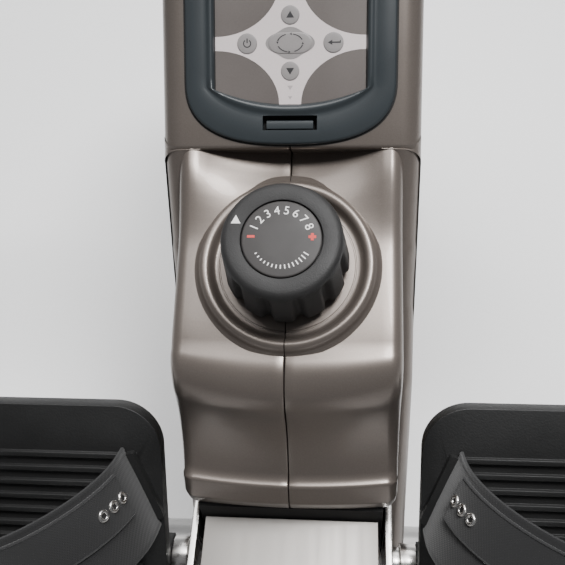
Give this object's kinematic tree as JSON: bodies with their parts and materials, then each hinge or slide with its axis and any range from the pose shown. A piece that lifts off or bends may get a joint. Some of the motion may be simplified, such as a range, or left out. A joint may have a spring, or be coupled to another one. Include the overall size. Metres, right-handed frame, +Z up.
{
  "type": "rowing machine",
  "caption": "Magnetic rowing machine with a flywheel housing, console, tension knob, strap handle, foot plates and a folding rail with a sliding seat.",
  "frame": {"origin": "on the floor, at the centre of the machine's bounding box", "axes": "+Y along the rail from the seat towards the housing, +X to the rower's right, +Z up"},
  "size_m": [0.456, 1.8698, 0.5815],
  "materials": {
    "housing_paint": "satin metallic",
    "slate_plastic": "satin",
    "overlay_print": "matte",
    "display_glass": "clear",
    "black_plastic": "fine texture",
    "black_rubber": "matte",
    "button_plastic": "matte",
    "frame_paint": "satin",
    "bright_steel": "brushed",
    "anodised_aluminium": "satin",
    "cast_iron": "machined",
    "belt_rubber": "matte",
    "webbing": "woven",
    "grip_foam": "foam",
    "seat_vinyl": "grained",
    "seat_board_wood": "plain",
    "board_green": "satin",
    "battery_case": "gloss"
  },
  "bodies": {
    "base": {"main_frame": "frame_paint", "hinge_plates": "bright_steel", "foot_axles": "bright_steel", "front_stabilizer": "frame_paint", "middle_stabilizer": "frame_paint", "stabilizer_caps": "black_rubber", "housing_left": "housing_paint", "housing_right": "housing_paint", "housing_screws": "bright_steel", "console_bezel": "slate_plastic", "console_overlay": "overlay_print", "display_lens": "display_glass", "console_back_case": "black_plastic", "circuit_board": "board_green", "batteries": "battery_case", "dial_plate": "black_plastic", "tension_cable": "black_plastic", "inner_axles": "bright_steel", "drive_belt": "belt_rubber", "speed_sensor": "black_plastic", "strap_inner_run": "webbing", "handle_cradle": "black_plastic", "rail_pivot_bolt": "bright_steel", "recoil_spring_case": "bright_steel"},
    "flywheel": {"flywheel": "cast_iron"},
    "drive_pulley": {"drive_pulley": "black_plastic"},
    "belt_idler": {"belt_idler": "black_plastic"},
    "strap_drum": {"strap_drum": "black_plastic"},
    "guide_roller": {"guide_roller": "black_plastic"},
    "handle": {"handle_bar": "frame_paint", "handle_grips": "grip_foam", "handle_clip": "black_plastic", "pull_strap": "webbing"},
    "rail": {"slide_rail": "anodised_aluminium", "rail_hinge_block": "black_plastic", "rail_rear_cap": "black_plastic", "rear_leg": "frame_paint", "rear_stabilizer": "frame_paint", "rear_stabilizer_caps": "black_rubber", "seat_stops": "black_rubber"},
    "seat": {"seat_pad": "seat_vinyl", "seat_board": "seat_board_wood", "seat_carriage": "frame_paint"},
    "seat_rollers_front": {"seat_rollers_front": "black_plastic"},
    "seat_rollers_rear": {"seat_rollers_rear": "black_plastic"},
    "foot_left": {"foot_plate_left": "black_plastic", "foot_strap_left": "webbing"},
    "foot_right": {"foot_plate_right": "black_plastic", "foot_strap_right": "webbing"},
    "tension_knob": {"tension_knob": "black_plastic"},
    "magnet_arm": {"magnet_arm": "bright_steel"},
    "fold_lock_knob": {"fold_lock_knob": "black_plastic"},
    "transport_wheel_left": {"transport_wheel_left": "black_plastic"},
    "transport_wheel_right": {"transport_wheel_right": "black_plastic"},
    "up_button": {"up_button": "button_plastic"},
    "down_button": {"down_button": "button_plastic"},
    "reset_button": {"reset_button": "button_plastic"},
    "enter_button": {"enter_button": "button_plastic"},
    "mode_button": {"mode_button": "button_plastic"},
    "console_latch": {"console_latch": "slate_plastic"}
  },
  "joints": [
    {"name": "rail_fold", "type": "hinge", "parent": "base", "child": "rail", "pos_m": [0, 0.3505, 0.245], "axis": [-1, 0, 0], "range_deg": [0, 88]},
    {"name": "seat_slide", "type": "slide", "parent": "rail", "child": "seat", "axis": [0, -1, 0], "range_m": [-0.15, 0.6]},
    {"name": "seat_front_roll", "type": "hinge", "parent": "seat", "child": "seat_rollers_front", "pos_m": [0, -0.0895, 0.245], "axis": [1, 0, 0], "range_deg": [-740, 2945]},
    {"name": "seat_rear_roll", "type": "hinge", "parent": "seat", "child": "seat_rollers_rear", "pos_m": [0, -0.2095, 0.245], "axis": [1, 0, 0], "range_deg": [-740, 2945]},
    {"name": "handle_pull", "type": "slide", "parent": "base", "child": "handle", "axis": [0, 1, 0], "range_m": [-1, 0], "stiffness_N_per_m": 25, "deforming": ["pull_strap"]},
    {"name": "strap_drum_turn", "type": "hinge", "parent": "base", "child": "strap_drum", "pos_m": [0, 0.5955, 0.29], "axis": [1, 0, 0], "range_deg": [-1575, 0]},
    {"name": "guide_roller_turn", "type": "hinge", "parent": "base", "child": "guide_roller", "pos_m": [0, 0.7285, 0.546], "axis": [1, 0, 0], "range_deg": [0, 3750]},
    {"name": "flywheel_spin", "type": "hinge", "parent": "base", "child": "flywheel", "pos_m": [0, 0.7855, 0.345], "axis": [1, 0, 0], "continuous": true},
    {"name": "drive_pulley_spin", "type": "hinge", "parent": "base", "child": "drive_pulley", "pos_m": [0, 0.5955, 0.29], "axis": [1, 0, 0], "continuous": true},
    {"name": "belt_idler_spin", "type": "hinge", "parent": "base", "child": "belt_idler", "pos_m": [0, 0.72691, 0.26311], "axis": [1, 0, 0], "continuous": true},
    {"name": "tension_turn", "type": "hinge", "parent": "base", "child": "tension_knob", "pos_m": [0, 0.5085, 0.387], "axis": [0, 0.279, -0.9603], "range_deg": [0, 132]},
    {"name": "magnet_arm_swing", "type": "hinge", "parent": "base", "child": "magnet_arm", "pos_m": [0, 0.89509, 0.20473], "axis": [-1, 0, 0], "range_deg": [0, 4.6]},
    {"name": "foot_left_tilt", "type": "hinge", "parent": "base", "child": "foot_left", "pos_m": [-0.1365, 0.3975, 0.23], "axis": [1, 0, 0], "range_deg": [-20, 20]},
    {"name": "foot_right_tilt", "type": "hinge", "parent": "base", "child": "foot_right", "pos_m": [0.1365, 0.3975, 0.23], "axis": [1, 0, 0], "range_deg": [-20, 20]},
    {"name": "fold_lock_turn", "type": "hinge", "parent": "base", "child": "fold_lock_knob", "pos_m": [-0.065, 0.3505, 0.245], "axis": [1, 0, 0], "range_deg": [0, 360]},
    {"name": "left_wheel_roll", "type": "hinge", "parent": "base", "child": "transport_wheel_left", "pos_m": [-0.046, 0.8965, 0.03], "axis": [1, 0, 0], "continuous": true},
    {"name": "right_wheel_roll", "type": "hinge", "parent": "base", "child": "transport_wheel_right", "pos_m": [0.046, 0.8965, 0.03], "axis": [1, 0, 0], "continuous": true},
    {"name": "up_press", "type": "slide", "parent": "base", "child": "up_button", "axis": [0, 0.6428, -0.766], "range_m": [0, 0.0008], "stiffness_N_per_m": 600},
    {"name": "down_press", "type": "slide", "parent": "base", "child": "down_button", "axis": [0, 0.6428, -0.766], "range_m": [0, 0.0008], "stiffness_N_per_m": 600},
    {"name": "reset_press", "type": "slide", "parent": "base", "child": "reset_button", "axis": [0, 0.6428, -0.766], "range_m": [0, 0.0008], "stiffness_N_per_m": 600},
    {"name": "enter_press", "type": "slide", "parent": "base", "child": "enter_button", "axis": [0, 0.6428, -0.766], "range_m": [0, 0.0008], "stiffness_N_per_m": 600},
    {"name": "mode_press", "type": "slide", "parent": "base", "child": "mode_button", "axis": [0, 0.6428, -0.766], "range_m": [0, 0.0008], "stiffness_N_per_m": 600},
    {"name": "latch_press", "type": "slide", "parent": "base", "child": "console_latch", "axis": [0, 0.766, 0.6428], "range_m": [0, 0.002], "stiffness_N_per_m": 900}
  ],
  "couplings": [
    {"joint": "seat_front_roll", "follows": "seat_slide", "rad_per_m": 85.47},
    {"joint": "seat_rear_roll", "follows": "seat_slide", "rad_per_m": 85.47},
    {"joint": "strap_drum_turn", "follows": "handle_pull", "rad_per_m": 26.81},
    {"joint": "guide_roller_turn", "follows": "handle_pull", "rad_per_m": -65.359},
    {"joint": "drive_pulley_spin", "follows": "flywheel_spin", "ratio": 0.25},
    {"joint": "belt_idler_spin", "follows": "flywheel_spin", "ratio": -1.6667},
    {"joint": "magnet_arm_swing", "follows": "tension_turn", "ratio": 0.034848}
  ]
}
